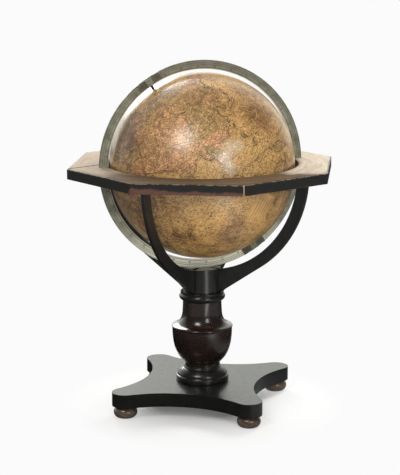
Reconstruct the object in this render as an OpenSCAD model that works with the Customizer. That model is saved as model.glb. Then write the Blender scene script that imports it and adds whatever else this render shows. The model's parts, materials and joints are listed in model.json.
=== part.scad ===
// Table globe in a four-armed stand: a papered globe turns on two pole pins in a brass meridian ring,
// and the ring slides through two notches of an octagonal horizon and over a rest in the pedestal head.
// Origin: on the floor, on the pedestal's axis. +Z is up. The meridian ring lies in the XZ plane.

/* [Globe] */
// Diameter of the papered globe
globe_d = 305; // [285:1:325]
// Wall of each papier-mache half shell
shell_wall = 4; // [3:0.5:6]
// Thickness of the map papers
paper_t = 0.5; // [0.3:0.1:0.8]
// Lean of the north pole from the vertical, in degrees
pole_tilt = 32.5; // [20:0.5:40]
// Diameter of the wooden axle post inside
post_d = 32; // [26:1:44]

/* [Meridian ring] */
// Gap between the globe and the inner edge of the ring
globe_gap = 5.5; // [4:0.5:8]
// Radial width of the ring
ring_w = 14.5; // [13:0.5:18]
// Thickness of the ring
ring_t = 4.6; // [4.2:0.1:6]
// Diameter of the two pole pins
pin_d = 4.4; // [3.6:0.1:4.8]
// Length of a pole plate, along the ring
plate_l = 42; // [36:1:48]
// Thickness of a pole plate at its two screwed ends
plate_t = 2.2; // [1.8:0.1:3]

/* [Horizon] */
// Distance between opposite corners of the octagon
horizon_d = 452; // [444:1:490]
// Thickness of the horizon boards
horizon_t = 16.5; // [14:0.5:22]
// Height of the top of the boards above the centre of the globe
horizon_lift = 4; // [2:0.5:6]
// Gap between the globe and the round hole in the horizon
hole_gap = 5.5; // [4:0.5:7]

/* [Arms] */
// Thickness of an arm
arm_t = 6.4; // [5:0.1:8]
// Radial width of an arm
arm_w = 19.5; // [16:0.5:24]
// Gap between the ring and the inner edge of an arm
arm_gap = 1.5; // [1:0.5:3]

/* [Pedestal] */
// Diameter of the head, where the arms are let in
head_d = 62; // [58:1:68]
// Height of the head above its collar
head_h = 40.7; // [36:0.1:50]
// Diameter of the bead collar under the head
collar_d = 76.6; // [74:0.2:86]
// Diameter of the neck above the bowl
neck_d = 64.5; // [56:0.5:68]
// Largest diameter of the bowl
bowl_d = 102; // [92:1:116]
// Height of the turned vase from its waist to the collar
vase_h = 110.8; // [95:0.2:140]
// Diameter of the waist under the bowl
waist_d = 59.6; // [52:0.2:64]
// Diameter of the foot flange on the plinth
flange_d = 88.6; // [80:0.2:104]

/* [Plinth] */
// Distance from the axis to the tip of a plinth corner
plinth_reach = 169; // [155:1:185]
// Radius of a rounded plinth corner
corner_r = 22; // [20:0.5:28]
// Distance from the axis to the middle of a hollow side
side_r = 93; // [80:1:104]
// Thickness of the plinth
plinth_t = 23; // [20:0.5:30]
// Turn of the plinth against the meridian ring, in degrees
plinth_turn = 14.5; // [0:0.5:45]
// Diameter of a bun foot
foot_d = 39; // [34:0.5:42]
// Height of a bun foot
foot_h = 20; // [15:0.5:26]

/* [Hidden] */
$fn = 96;
// Finer rounds for thin pieces of large radius
thin_fn = 360;
eps = 0.01;

// Fits: a sliding rest, a running pin, and free clearance beside a moving piece
rest_fit = 0.06;
pin_fit = 0.05;
side_fit = 0.3;
// Film of glue between the shell and its papers
glue_t = 0.05;

// Globe, from the outside in
globe_r = globe_d / 2;
paper_in = globe_r - paper_t;
shell_r = paper_in - glue_t;
shell_in = shell_r - shell_wall;
gore_count = 12;
gore_seam = 0.1;
gore_lat = 72;
bush_r = pin_d / 2 + 2.8;
bush_l = 28;
axle_disc_r = 32;
axle_disc_l = 22;
nail_ring_r = 22;
nail_d = 1.8;
nail_l = 16;
nails_per_pole = 6;
nail_top = sqrt(pow(shell_r, 2) - pow(nail_ring_r + nail_d / 2, 2));
hoop_w = 26;
hoop_t = 4;

// Meridian ring and its pole plates, whose outer corners stay inside the ring's edge
ring_in = globe_r + globe_gap;
ring_r = ring_in + ring_w;
plate_in = ring_in + 1;
plate_out = sqrt(pow(ring_r - 0.2, 2) - pow(plate_l / 2, 2));
block_l = 14;
block_t = pin_d / 2 + 2.2;
pin_out = plate_out - 1.5;
pin_in = shell_r - bush_l + 3;
plate_screw_d = 3;
plate_screw_head = 6.4;
plate_screw_at = plate_l / 2 - 7;

// Heights, from the floor up
plinth_top = foot_h + plinth_t;
foot_part_h = 27;
vase_z = plinth_top + foot_part_h;
head_z = vase_z + vase_h;
collar_h = 15;
collar_top = head_z + collar_h;
head_top = collar_top + head_h;
groove_depth = 2;
rest_z = head_top - groove_depth;
centre_z = rest_z + rest_fit + ring_r;

// Horizon
horizon_r = horizon_d / 2;
hole_r = globe_r + hole_gap;
board_top = centre_z + horizon_lift;
board_z = board_top - horizon_t;
notch_end = ring_r + 0.8;
chord_r = horizon_r * cos(67.5);
horizon_paper_t = 0.4;
paper_margin = 2.5;
dowel_d = 6;
dowel_l = 14;
// Distances of a joint's two dowels from the round hole and from the arm's tenon
dowel_from_hole = 8;
dowel_from_tenon = 8;

// Arms
arm_in = ring_r + arm_gap;
arm_out = arm_in + arm_w;
tongue_r = 14;
tenon_h = 9;
tenon_inset = 3;
heel_r = collar_d / 2 - 2.8;
heel_out = 8;
heel_up = 7.2;

// Head groove, wide enough for the ring and the pole plates on its front face
groove_front = block_t + 0.6;
groove_back = ring_t + side_fit;
rest_l = 36;
rest_h = 6;

// Plinth, its corner circles and the circles that hollow its sides
corner_at = plinth_reach - corner_r;
hollow_at = (pow(corner_at, 2) - pow(side_r - corner_r, 2))
            / (sqrt(2) * corner_at - 2 * (side_r - corner_r));
hollow_r = hollow_at - side_r;
foot_tenon_d = 14;
foot_tenon_h = 13;
spigot_d = 30;
spigot_h = 14;
head_spigot_d = 26;
plinth_screw_ring = 29;
plinth_screw_d = 5;
plinth_screw_head = 10;
plinth_screw_l = plinth_t + 12;

// A circular arc and a three-point curve, as lists of points
function arc(c, r, a0, a1, n) = [for (i = [0:n]) let (a = a0 + (a1 - a0) * i / n) c + r * [cos(a), sin(a)]];
function curve(p, q, r, n) =
  [for (i = [0:n]) let (t = i / n) (1 - t) * (1 - t) * p + 2 * t * (1 - t) * q + t * t * r];
function corner(k) = horizon_r * [cos(45 * k), sin(45 * k)];

// Places the globe: its own +Z is the polar axis
module in_globe() {
  translate([0, 0, centre_z]) rotate([0, -pole_tilt, 0]) children();
}

// Runs its child at the north pole and, turned over in the ring's plane, at the south pole
module at_pole(south) {
  in_globe() rotate([0, south ? 180 : 0, 0]) children();
}

// Section of the paper layer, as a thin crescent about the origin
module paper_section() {
  difference() {
    circle(r = globe_r);
    circle(r = paper_in);
  }
}

// Turned wooden or metal part, from the outline of one side
module turned(outline) {
  rotate_extrude() polygon(outline);
}

// Countersunk wood screw without its slot, pointing along +Z from the face that its head lies in
module screw_body(d, head, l) {
  cylinder(d = d, h = l);
  cylinder(d1 = head, d2 = d, h = (head - d) / 2);
}

// Countersunk wood screw with a slotted head
module slotted_screw(d, head, l) {
  difference() {
    screw_body(d, head, l);
    translate([-head, -d / 8, -1]) cube([2 * head, d / 4, 1 + d / 4]);
  }
}

// Papier-mache half shell of the globe, with the bush hole and the nail holes at its pole
module globe_shell(south) {
  color("tan") at_pole(south) difference() {
    sphere(r = shell_r);
    sphere(r = shell_in);
    translate([-globe_r, -globe_r, -globe_d]) cube([globe_d, globe_d, globe_d]);
    cylinder(r = bush_r, h = globe_r);
    pole_nails();
  }
}

// The nails of one pole, which hold the shell to the end of the axle post
module pole_nails() {
  for (i = [0:nails_per_pole - 1])
    rotate([0, 0, i * 360 / nails_per_pole]) translate([nail_ring_r, 0, nail_top - nail_l])
      cylinder(d = nail_d, h = nail_l);
}

module shell_nails() {
  color("dimgray") for (south = [false, true]) at_pole(south) pole_nails();
}

// Wooden hoop that backs the joint of the two half shells
module equator_hoop() {
  color("burlywood") in_globe() rotate_extrude($fn = thin_fn) intersection() {
    circle(r = shell_in, $fn = thin_fn);
    translate([shell_in - hoop_t, -hoop_w / 2]) square([hoop_t, hoop_w]);
  }
}

// Turned post from pole to pole, with a disc under each pole that carries the shell
module globe_axle() {
  color("burlywood") in_globe() difference() {
    intersection() {
      sphere(r = shell_in);
      union() {
        cylinder(d = post_d, h = globe_d, center = true);
        for (over = [0, 180])
          rotate([0, over, 0]) translate([0, 0, shell_in - axle_disc_l])
            cylinder(r = axle_disc_r, h = axle_disc_l);
      }
    }
    for (over = [0, 180]) rotate([0, over, 0]) {
      translate([0, 0, shell_r - bush_l]) cylinder(r = bush_r, h = bush_l);
      pole_nails();
    }
  }
}

// Brass tube in the end of the axle post, in which the globe turns on its pole pin
module axle_bush(south) {
  color("goldenrod") at_pole(south) translate([0, 0, shell_r - bush_l]) difference() {
    cylinder(r = bush_r, h = bush_l);
    translate([0, 0, -1]) cylinder(r = pin_d / 2 + pin_fit, h = bush_l + 2);
  }
}

// One printed map gore, pasted on the shell between two meridians
module map_gore(i) {
  far = 2 * globe_r;
  edge = far * [cos(gore_lat), sin(gore_lat)];
  color("peru") in_globe() rotate([0, 0, i * 360 / gore_count + gore_seam / 2])
    rotate_extrude(angle = 360 / gore_count - gore_seam) intersection() {
      paper_section();
      polygon([[0, 0], [edge[0], -edge[1]], [far, -edge[1]], [far, edge[1]], edge]);
    }
}

// Round paper cap over the points of the gores, with a hole for the bush
module polar_paper(south) {
  far = 2 * globe_r;
  edge_lat = gore_lat + gore_seam;
  edge = far * [cos(edge_lat), sin(edge_lat)];
  color("peru") at_pole(south) difference() {
    rotate_extrude() intersection() {
      paper_section();
      polygon([[0, 0], edge, [0, edge[1]]]);
    }
    cylinder(r = bush_r, h = far);
  }
}

// Cuts or fills the places of the two screws of a pole plate, from its front face inwards
module at_plate_screws() {
  for (s = [-1, 1])
    translate([s * plate_screw_at, -plate_t, (plate_in + plate_out) / 2]) rotate([-90, 0, 0]) children();
}

// Flat brass ring, whose front face lies in the plane of the polar axis
module meridian_ring() {
  color("darkkhaki") difference() {
    translate([0, ring_t, centre_z]) rotate([90, 0, 0]) difference() {
      cylinder(r = ring_r, h = ring_t);
      translate([0, 0, -1]) cylinder(r = ring_in, h = ring_t + 2);
    }
    for (south = [false, true]) at_pole(south) {
      translate([0, 0, pin_in]) cylinder(d = pin_d, h = pin_out - pin_in);
      at_plate_screws() cylinder(d = plate_screw_d, h = plate_t + ring_t + 1);
    }
  }
}

// Brass plate with a raised middle, screwed on the ring over the pole pin
module pole_plate(south) {
  width = plate_out - plate_in;
  color("darkolivegreen") at_pole(south) difference() {
    union() {
      translate([-plate_l / 2, -plate_t, plate_in]) cube([plate_l, plate_t, width]);
      translate([-block_l / 2, -block_t, plate_in]) cube([block_l, block_t, width]);
    }
    translate([0, 0, pin_in]) cylinder(d = pin_d, h = pin_out - pin_in);
    at_plate_screws() screw_body(plate_screw_d, plate_screw_head, plate_t + 1);
  }
}

module plate_screws() {
  color("saddlebrown") for (south = [false, true])
    at_pole(south) at_plate_screws() slotted_screw(plate_screw_d, plate_screw_head, plate_t + ring_t - 0.4);
}

// Steel pin, half in the ring and half in its plate, that reaches into the globe's bush
module pole_pin(south) {
  color("dimgray") at_pole(south) translate([0, 0, pin_in]) cylinder(d = pin_d, h = pin_out - pin_in);
}

// The two notches of the horizon that the ring slides in
module ring_notches(side, inner) {
  for (turn = [0, 180]) rotate([0, 0, turn]) {
    low = turn == 0 ? -side : -ring_t - side;
    start = inner - 10;
    translate([start, low, board_z - 1]) cube([notch_end - start, ring_t + 2 * side, horizon_t + 5]);
  }
}

// Dowels across the four joints of the horizon, two to a joint
module dowel_row(d, l) {
  hole_half = sqrt(pow(hole_r, 2) - pow(chord_r, 2));
  tenon_near = (arm_in + tenon_inset) * cos(22.5) - arm_t / 2 * sin(22.5);
  places = [hole_half + dowel_from_hole, tenon_near - dowel_from_tenon];
  for (normal = [112.5, 292.5], s = [-1, 1], along = places)
    rotate([0, 0, normal]) translate([chord_r - l / 2, s * along, (board_z + board_top) / 2])
      rotate([0, 90, 0]) cylinder(d = d, h = l);
}

// One arm's tenon, which stands in a mortise of the horizon
module arm_tenon() {
  translate([arm_in + tenon_inset, -arm_t / 2, board_z - eps])
    cube([arm_w - 2 * tenon_inset, arm_t, tenon_h + eps]);
}

// One horizon board from its outline, with its part of the round hole, a notch, mortises and dowel holes
module horizon_board(outline) {
  color("black") difference() {
    translate([0, 0, board_z]) linear_extrude(horizon_t) polygon(outline);
    translate([0, 0, board_z - 1]) cylinder(r = hole_r, h = horizon_t + 2);
    ring_notches(side_fit, hole_r);
    for (k = [0:3]) rotate([0, 0, 45 + 90 * k]) arm_tenon();
    dowel_row(dowel_d, dowel_l);
  }
}

module horizon_front() {
  horizon_board([corner(5), corner(6), corner(7), corner(8)]);
}

module horizon_back() {
  horizon_board([corner(1), corner(2), corner(3), corner(4)]);
}

module horizon_left() {
  horizon_board([corner(4), corner(5), (corner(5) + corner(8)) / 2, (corner(4) + corner(1)) / 2]);
}

module horizon_right() {
  horizon_board([corner(8), corner(1), (corner(4) + corner(1)) / 2, (corner(5) + corner(8)) / 2]);
}

module horizon_dowels() {
  color("wheat") dowel_row(dowel_d, dowel_l);
}

// Printed paper on top of the boards, a little short of their edges
module horizon_paper() {
  scale_in = (horizon_r - paper_margin) / horizon_r;
  color("tan") difference() {
    translate([0, 0, board_top]) linear_extrude(horizon_paper_t)
      polygon([for (k = [0:7]) scale_in * corner(k)]);
    translate([0, 0, board_top - 1]) cylinder(r = hole_r + 0.5, h = 3);
    ring_notches(side_fit + 0.3, hole_r);
  }
}

// Outline of an arm: a quarter hoop, whose outer edge runs straight down to a heel on the collar
function arm_outline() =
  let (centre = [0, centre_z],
       heel = [heel_r + heel_out, collar_top + heel_up],
       drop = centre_z - heel[1],
       touch = atan2(heel[0], drop) + acos(arm_out / norm([heel[0], drop])),
       top_in = asin((centre_z - board_z) / arm_in),
       top_out = asin((centre_z - board_z) / arm_out))
  concat([[tongue_r, collar_top], [heel_r, collar_top], heel],
         arc(centre, arm_out, touch - 90, -top_out, 24),
         arc(centre, arm_in, -top_in, asin(tongue_r / arm_in) - 90, 30));

module arm(k) {
  color("black") rotate([0, 0, 45 + 90 * k]) {
    rotate([90, 0, 0]) translate([0, 0, -arm_t / 2]) linear_extrude(arm_t) polygon(arm_outline());
    arm_tenon();
  }
}

// Block in the head's groove, on which the ring slides
module meridian_rest() {
  color("goldenrod") difference() {
    translate([-rest_l / 2, -groove_front, rest_z - rest_h])
      cube([rest_l, groove_front + groove_back, rest_h + groove_depth - side_fit]);
    translate([0, groove_back + 1, centre_z]) rotate([90, 0, 0])
      cylinder(r = ring_r + rest_fit, h = groove_front + groove_back + 2, $fn = thin_fn);
  }
}

// Outline of the bead collar under the head
function collar_outline() =
  let (bead_r = 6, bead = [collar_d / 2 - bead_r, bead_r + 0.5])
  concat([[0, 0], [neck_d / 2, 0]], arc(bead, bead_r, -85, 55, 12),
         [[collar_d / 2 - 2, collar_h - 1], [collar_d / 2 - 2, collar_h], [0, collar_h]]);

// Turned collar that the head and the heels of the arms stand on
module pedestal_collar() {
  color("black") translate([0, 0, head_z]) difference() {
    turned(collar_outline());
    translate([0, 0, -1]) cylinder(d = head_spigot_d, h = collar_h + 2);
  }
}

// Turned head, slotted for the four arms and grooved for the ring, with a spigot through the collar
module pedestal_head() {
  color("black") difference() {
    union() {
      translate([0, 0, collar_top]) cylinder(d = head_d, h = head_h);
      translate([0, 0, head_z - spigot_h]) cylinder(d = head_spigot_d, h = spigot_h + collar_h + eps);
    }
    for (k = [0:3])
      rotate([0, 0, 45 + 90 * k]) translate([tongue_r, -arm_t / 2, collar_top])
        cube([head_d, arm_t, head_h + 1]);
    translate([0, groove_back, centre_z]) rotate([90, 0, 0])
      cylinder(r = ring_r + side_fit, h = groove_front + groove_back);
    translate([-rest_l / 2, -groove_front, rest_z - rest_h])
      cube([rest_l, groove_front + groove_back, rest_h + groove_depth + 1]);
  }
}

// Outline of the vase: waist, swelling bowl with a lip, hollow shoulder and neck
function vase_outline() =
  let (waist = waist_d / 2, bowl = bowl_d / 2, neck = neck_d / 2, lip = 1.8, lip_z = 0.595 * vase_h)
  concat([[0, 0], [waist, 0], [waist, 3.5]],
         curve([waist, 4.5], [bowl - 1, 0.18 * vase_h], [bowl - 1, lip_z - 4], 16),
         arc([bowl - lip, lip_z], lip, -60, 80, 6),
         curve([bowl - 2.5, lip_z + 2.4], [neck + 2.4, 0.635 * vase_h], [neck + 0.7, 0.82 * vase_h], 14),
         [[neck, vase_h - 6], [neck, vase_h], [0, vase_h]]);

// Turned vase of the pedestal, with sockets for the spigots of the head and the foot
module pedestal_vase() {
  color("saddlebrown") translate([0, 0, vase_z]) difference() {
    turned(vase_outline());
    translate([0, 0, vase_h - spigot_h]) cylinder(d = head_spigot_d, h = spigot_h + 1);
    translate([0, 0, -1]) cylinder(d = spigot_d, h = spigot_h + 1);
  }
}

// Outline of the pedestal's foot: flange, groove, flared moulding and waist ring
function foot_outline() =
  let (flange = flange_d / 2, waist = waist_d / 2)
  concat([[0, 0], [flange - 0.8, 0], [flange, 0.8], [flange, 8], [flange - 0.8, 9.4], [flange - 2.6, 10]],
         curve([flange - 2.4, 11], [flange - 3.2, 17.5], [waist + 1.4, 22.6], 10),
         [[waist + 1.4, 23.8], [waist, 24.6], [waist, foot_part_h], [0, foot_part_h]]);

// Turned foot of the pedestal, with a spigot into the plinth and one into the vase
module pedestal_foot() {
  color("black") difference() {
    union() {
      translate([0, 0, plinth_top]) turned(foot_outline());
      translate([0, 0, plinth_top - spigot_h]) cylinder(d = spigot_d, h = foot_part_h + 2 * spigot_h);
    }
    at_plinth_screws() cylinder(d = plinth_screw_d, h = plinth_screw_l);
  }
}

// Places of the screws that hold the pedestal from under the plinth
module at_plinth_screws() {
  for (k = [0:3])
    rotate([0, 0, plinth_turn + 45 + 90 * k]) translate([plinth_screw_ring, 0, foot_h]) children();
}

module plinth_screws() {
  color("dimgray") at_plinth_screws() slotted_screw(plinth_screw_d, plinth_screw_head, plinth_screw_l);
}

// Outline of one quarter of the plinth: a rounded corner and the hollow side after it
function plinth_quarter(k) =
  let (a = 90 * k,
       lean = atan2(hollow_at * sin(45), hollow_at * cos(45) - corner_at))
  concat(arc(corner_at * [cos(a), sin(a)], corner_r, a - lean, a + lean, 20),
         [for (p = [1:23]) let (t = a + 180 + lean - p * (2 * lean - 90) / 24)
           hollow_at * [cos(a + 45), sin(a + 45)] + hollow_r * [cos(t), sin(t)]]);

// Places of the four feet, under the corners of the plinth
module at_foot(k) {
  rotate([0, 0, plinth_turn + 90 * k]) translate([corner_at, 0, 0]) children();
}

// Flat plinth with four hollow sides and four rounded corners
module plinth() {
  color("black") difference() {
    translate([0, 0, foot_h]) rotate([0, 0, plinth_turn]) linear_extrude(plinth_t)
      polygon([for (k = [0:3]) each plinth_quarter(k)]);
    for (k = [0:3]) at_foot(k) translate([0, 0, foot_h - 1]) cylinder(d = foot_tenon_d, h = foot_tenon_h + 1);
    translate([0, 0, plinth_top - spigot_h]) cylinder(d = spigot_d, h = spigot_h + 1);
    at_plinth_screws() screw_body(plinth_screw_d, plinth_screw_head, plinth_screw_l);
  }
}

// Outline of a bun foot
function bun_outline() =
  let (bun = foot_d / 2, half = 0.47 * foot_h)
  concat([[0, 0]], arc([bun - half, half], half, -90, 62, 16),
         [[bun - 0.28 * foot_h, foot_h - 1.2], [bun - 0.24 * foot_h, foot_h], [0, foot_h]]);

// Turned bun foot with a tenon into the plinth
module bun_foot(k) {
  color("sienna") at_foot(k) {
    turned(bun_outline());
    translate([0, 0, foot_h - eps]) cylinder(d = foot_tenon_d, h = foot_tenon_h + eps);
  }
}

globe_shell(false);  // globe_shell_north
globe_shell(true);  // globe_shell_south
equator_hoop();
globe_axle();
axle_bush(false);  // axle_bush_north
axle_bush(true);  // axle_bush_south
shell_nails();
for (i = [1:gore_count]) map_gore(i);
polar_paper(false);  // polar_paper_north
polar_paper(true);  // polar_paper_south
meridian_ring();
pole_plate(false);  // pole_plate_north
pole_plate(true);  // pole_plate_south
plate_screws();
pole_pin(false);  // pole_pin_north
pole_pin(true);  // pole_pin_south
horizon_front();
horizon_back();
horizon_left();
horizon_right();
horizon_dowels();
horizon_paper();
arm(2);  // arm_front_left
arm(3);  // arm_front_right
arm(0);  // arm_rear_right
arm(1);  // arm_rear_left
meridian_rest();
pedestal_head();
pedestal_collar();
pedestal_vase();
pedestal_foot();
plinth();
plinth_screws();
bun_foot(2);  // foot_front_left
bun_foot(3);  // foot_front_right
bun_foot(0);  // foot_rear_right
bun_foot(1);  // foot_rear_left
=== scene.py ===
"""Looks of a table globe: engraved map papers, a graduated brass ring, a papered horizon and an ebonised stand."""

import json
import math
import random

import bmesh
import bpy
import numpy as np
from mathutils import Matrix, Vector, kdtree


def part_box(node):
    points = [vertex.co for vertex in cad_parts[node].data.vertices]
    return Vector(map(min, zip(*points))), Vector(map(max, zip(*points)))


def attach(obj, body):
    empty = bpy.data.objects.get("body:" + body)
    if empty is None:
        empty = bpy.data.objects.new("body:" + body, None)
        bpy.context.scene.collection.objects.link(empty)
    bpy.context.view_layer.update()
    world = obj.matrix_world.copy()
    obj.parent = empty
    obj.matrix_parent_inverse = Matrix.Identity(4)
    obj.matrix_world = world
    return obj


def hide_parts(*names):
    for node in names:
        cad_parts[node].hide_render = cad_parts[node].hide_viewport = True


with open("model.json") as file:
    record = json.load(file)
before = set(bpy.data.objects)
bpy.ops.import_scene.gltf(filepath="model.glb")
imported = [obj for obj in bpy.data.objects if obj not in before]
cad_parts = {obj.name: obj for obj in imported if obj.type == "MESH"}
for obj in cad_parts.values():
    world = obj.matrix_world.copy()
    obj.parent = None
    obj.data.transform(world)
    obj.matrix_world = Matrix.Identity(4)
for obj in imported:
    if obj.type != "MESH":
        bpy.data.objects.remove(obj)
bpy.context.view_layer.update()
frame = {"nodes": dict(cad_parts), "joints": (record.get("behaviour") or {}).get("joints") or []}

bl_info = {
    "name": "Table globe",
    "version": (1, 0, 0),
    "blender": (4, 5, 0),
    "location": "View3D > Sidebar > Table globe",
    "description": "Builds the papers, metalwork, woodwork and studio of a table globe around its CAD model",
    "category": "Object",
}

MM = 0.001
WELD = 0.002 * MM  # Vertices of a CAD node nearer than this are one
PAPER_WELD = 0.01 * MM  # The same for a new paper
FLAT = math.radians(0.4)  # Faces of a CAD node that turn less than this are one
CENTRE = Vector(frame["joints"][0]["pos_m"])
POLAR_AXIS = Vector(frame["joints"][1]["axis"]).normalized()
TO_GLOBE = Matrix.Translation(CENTRE) @ Matrix(
    (Vector((0, 1, 0)).cross(POLAR_AXIS), Vector((0, 1, 0)), POLAR_AXIS)
).transposed().to_4x4()
POLE_ANGLE = math.degrees(math.atan2(POLAR_AXIS.z, POLAR_AXIS.x))

# The horizon's joints: the turn of their normal, and their distance from the middle
JOINT_ANGLE = math.radians(112.5)
JOINT_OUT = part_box("horizon_back")[1].y * math.cos(math.radians(67.5))

# Corners of the coasts, as degrees east and north. They are coarse on purpose: the script adds the small bays.
COASTS = {
    "africa": [(-6, 35), (10, 37), (11, 33), (20, 31), (32, 31), (35, 28), (43, 12), (51, 12), (46, 2), (40, -3),
               (39, -8), (40, -15), (35, -20), (35, -25), (31, -30), (25, -34), (18, -34), (14, -22), (12, -15),
               (13, -7), (9, -1), (9, 4), (4, 6), (-8, 4), (-13, 9), (-17, 15), (-16, 22), (-10, 30)],
    "eurasia": [(-9, 37), (-9, 43), (-1, 44), (-2, 48), (5, 53), (9, 57), (12, 54), (20, 55), (24, 59), (30, 60),
                (22, 61), (25, 66), (18, 61), (12, 56), (5, 59), (8, 64), (20, 70), (30, 70), (41, 67), (35, 64),
                (45, 68), (60, 69), (68, 73), (80, 73), (100, 78), (112, 74), (130, 71), (150, 71), (170, 69),
                (180, 67), (190, 66), (180, 63), (165, 60), (163, 57), (157, 51), (156, 58), (160, 61), (150, 59),
                (137, 54), (141, 52), (140, 47), (131, 43), (128, 39), (129, 35), (126, 35), (125, 39), (118, 39),
                (122, 37), (119, 35), (122, 31), (119, 25), (112, 21), (108, 21), (106, 18), (109, 12), (105, 9),
                (101, 13), (100, 9), (104, 2), (101, 4), (98, 9), (97, 16), (94, 16), (91, 22), (87, 21), (80, 15),
                (80, 11), (77, 8), (73, 18), (72, 21), (67, 24), (61, 25), (57, 26), (52, 27), (49, 30), (51, 24),
                (56, 25), (59, 22), (54, 17), (45, 13), (43, 14), (38, 22), (35, 28), (34, 31), (36, 36), (28, 37),
                (27, 40), (38, 41), (41, 42), (38, 46), (30, 46), (28, 42), (23, 41), (23, 37), (19, 41), (13, 45),
                (16, 41), (16, 38), (10, 44), (3, 42), (0, 39), (-2, 37)],
    "inland_sea": [(49, 45), (53, 46), (54, 41), (53, 37), (50, 38), (50, 41)],
    "south_land": [(114, -22), (115, -34), (124, -33), (131, -31), (138, -34), (141, -38), (148, -38), (153, -31),
                   (153, -25), (146, -19), (145, -15), (142, -11), (141, -17), (136, -15), (137, -12), (131, -12),
                   (127, -14), (122, -18)],
    "spice_islands": [(131, -1), (138, -2), (145, -5), (150, -10), (143, -9), (138, -8), (133, -4)],
    "long_island": [(95, 5), (99, 3), (104, -2), (106, -6), (102, -4), (98, 0)],
    "narrow_island": [(105, -6.5), (114, -7.5), (114, -8.5), (106, -7.5)],
    "north_group": [(120, 16), (121, 18.5), (122, 17), (124, 13), (121, 14)],
    "middle_group": [(122, 7), (125, 10), (126, 7), (124, 6)],
    "eastern_isles": [(130, 32), (135, 33.5), (140, 35), (141, 39), (141, 42), (145, 43.5), (142, 45.5), (140, 42),
                      (139, 38), (136, 36), (131, 34)],
    "small_isles": [(120, 23), (121.5, 25), (121, 22)],
    "pearl_island": [(80, 9), (82, 7), (80.5, 6)],
    "cape_island": [(44, -22), (44, -16), (49, -12), (50, -15), (47, -25)],
    "far_isles": [(167, -46), (172, -41), (173, -35), (178, -38), (174, -42), (170, -46)],
    "apple_isle": [(145, -41), (148, -41), (147, -43.5)],
    "western_isles": [(-5, 50), (1, 51), (1, 53), (-3, 58), (-6, 57), (-3, 54)],
    "green_isle": [(-10, 52), (-6, 52), (-6, 55), (-9, 54)],
    "ice_isle": [(-24, 65), (-14, 65), (-18, 63.5)],
    "ice_land": [(-55, 60), (-45, 60), (-22, 70), (-20, 80), (-45, 83), (-70, 78), (-55, 70)],
    "north_west": [(-168, 66), (-157, 71), (-130, 70), (-110, 68), (-95, 70), (-85, 68), (-94, 60), (-82, 55),
                   (-79, 52), (-78, 60), (-65, 59), (-56, 52), (-65, 45), (-70, 42), (-76, 35), (-81, 30), (-80, 25),
                   (-84, 30), (-90, 29), (-97, 27), (-97, 20), (-91, 18), (-87, 21), (-88, 15), (-83, 10), (-80, 8),
                   (-84, 9), (-94, 16), (-105, 20), (-113, 30), (-110, 23), (-117, 33), (-124, 40), (-124, 48),
                   (-135, 58), (-150, 60), (-160, 56), (-165, 60)],
    "south_west": [(-80, 8), (-72, 12), (-62, 10), (-50, 1), (-35, -6), (-39, -14), (-41, -22), (-48, -26),
                   (-54, -34), (-62, -39), (-66, -46), (-68, -54), (-74, -51), (-73, -40), (-70, -20), (-76, -14),
                   (-81, -5), (-78, 2)],
    "sugar_isles": [(-84, 22), (-75, 20), (-77, 21), (-82, 23)],
}

# Rubbed places, and spots of soil, painted shade and painted sheen on the map: degrees east and north, radius in
# degrees, strength. The rubbed places are partly a painted reflection. Spots below 0 are lighter than the rest
RUBBED_AND_GLINT = (
    (109, 16, 7, 0.9), (115, 13, 5, 0.7), (101, 12, 6, 0.9), (101, 4, 4, 1.3), (115, -2, 6, 0.3), (75, 70, 10, 0.5)
)
SOIL_SHADE_AND_SHEEN = (
    (139, 15, 17, 0.65), (92, 25, 14, -0.9), (114, 0, 13, -1.2), (66, 71, 10, 0.3), (29, 51, 16, 1.1),
    (26, 5, 20, 0.7), (52, -22, 14, 0.5), (71, -38, 9, 0.6), (54, 10, 8, 0.4), (85, -25, 22, 0.3),
    (135, 54, 10, 0.5), (62, 0, 10, 0.3), (20, -30, 20, 0.6), (165, 22, 22, 0.4), (73, -14, 13, -0.4),
    (-80, 20, 30, 0.5), (-140, -30, 30, 0.5),
)
HALVINGS = 5  # How often the stretches of a coast are halved
SHORT = 0.7  # Stretches up to this long, in degrees, stay whole
SHIFT = 0.2  # How far the middle of a stretch may move, to its length

# The bare panel on the map: degrees east of the first meridian, degrees north, and its width, height and tilt
PANEL = (-81, -30, 22, 17, 36)

# Straight strokes on the map: cells to a degree, half a stroke's length and width in degrees, shares of the cells
# that have one on land and at sea, and strength. They stand for engraved names and are drawn coarser than real
STROKES = (
    (0.62, 0.6, 0.11, 0.45, 0.0, 0.75),
    (0.33, 1.5, 0.2, 0.75, 0.4, 0.85),
    (0.24, 2.2, 0.22, 0.65, 0.4, 0.85),
    (0.2, 2.6, 0.2, 0.45, 0.3, 0.75),
    (0.13, 0.8, 0.24, 0.4, 0.4, 1.0),
)
TROPIC = 23.45  # Latitude of the tropics, and the slope of the ecliptic, in degrees
WHOLE_TURN = 6.28  # In radians

# The ring's engraving, in mm from its centre: its circles, and its lines as degrees apart and where they start
RING_CIRCLES = (160.2, 165.0, 167.6, 171.2)
RING_LINES = ((1.0, 167.6), (5.0, 166.4), (10.0, 165.0))
NUMERAL_RADIUS = 162.6
TYPE_SIZE = 1.35  # Size of the type, to a numeral's height

# The horizon's print: circles as mm from the middle and strength, and rays as degrees apart and mm from and to
HORIZON_CIRCLES = (
    (160.5, 0.5), (164.0, 0.4), (172.0, 0.35), (180.0, 0.4), (184.0, 0.35), (196.0, 0.3), (205.0, 0.35)
)
HORIZON_RAYS = ((1.0, 160.5, 164.0), (10.0, 160.5, 172.0), (30.0, 160.5, 205.0), (1.0, 180.0, 184.0))

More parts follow.
